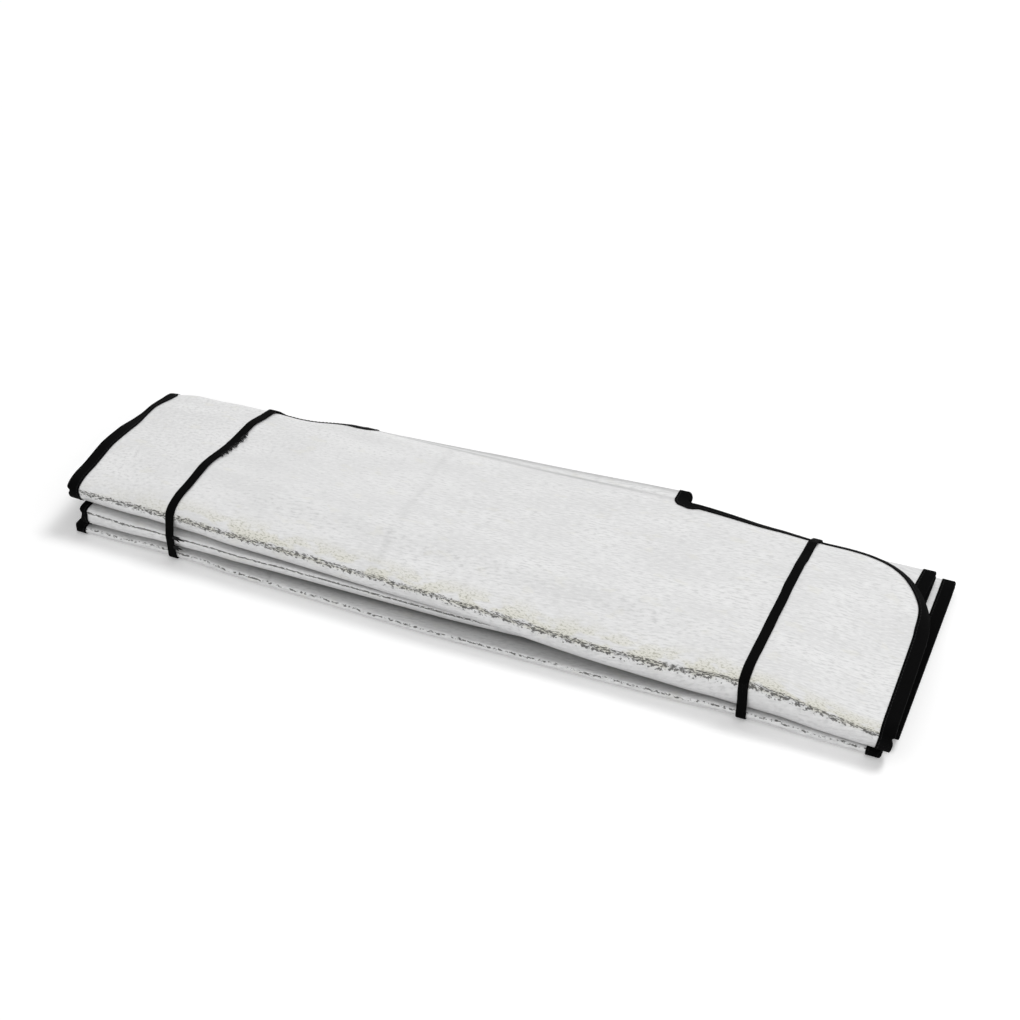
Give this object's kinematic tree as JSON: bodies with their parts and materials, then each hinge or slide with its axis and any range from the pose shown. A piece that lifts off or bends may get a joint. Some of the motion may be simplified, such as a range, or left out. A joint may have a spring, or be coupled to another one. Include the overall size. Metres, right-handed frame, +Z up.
{
  "type": "windscreen cover",
  "caption": "Foil-faced foam windscreen cover folded to and fro into a flat bundle, with a bound edge and elastic straps round it.",
  "frame": {"origin": "on the ground, under the middle of the folded bundle's box", "axes": "+X along the bundle to its right end seen from the front, +Y to the rear folds, +Z up"},
  "size_m": [0.7186, 0.2272, 0.0591],
  "materials": {
    "aluminised_film": "embossed aluminised film on foam, satin",
    "polyester_tape": "black woven tape, matt",
    "knitted_elastic": "black knitted elastic, matt"
  },
  "bodies": {
    "root": {"foil_sheet": "aluminised_film", "edge_binding": "polyester_tape", "elastic_strap_left": "knitted_elastic", "elastic_strap_right": "knitted_elastic"}
  },
  "joints": []
}
